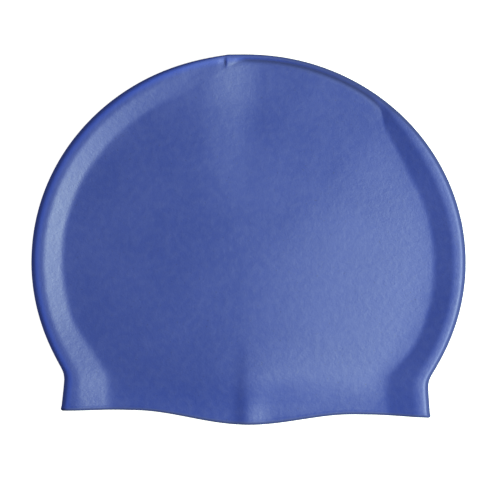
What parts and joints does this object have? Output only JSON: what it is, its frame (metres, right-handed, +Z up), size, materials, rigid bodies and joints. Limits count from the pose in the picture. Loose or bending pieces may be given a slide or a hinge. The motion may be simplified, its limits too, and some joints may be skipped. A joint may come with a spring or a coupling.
{
  "type": "swim cap",
  "caption": "Plain moulded silicone swim cap lying flat: bulging dome inside a looped fold, pulled-in neck and wavy rim round an open mouth.",
  "frame": {"origin": "middle of the cap's width and length, on the surface that it lies on", "axes": "+X across the cap from fold to fold, +Y from the open mouth to the crown, +Z up through both halves"},
  "size_m": [0.22, 0.1876, 0.0154],
  "materials": {
    "silicone": "satin"
  },
  "bodies": {
    "root": {"cap_shell": "silicone"}
  },
  "joints": []
}
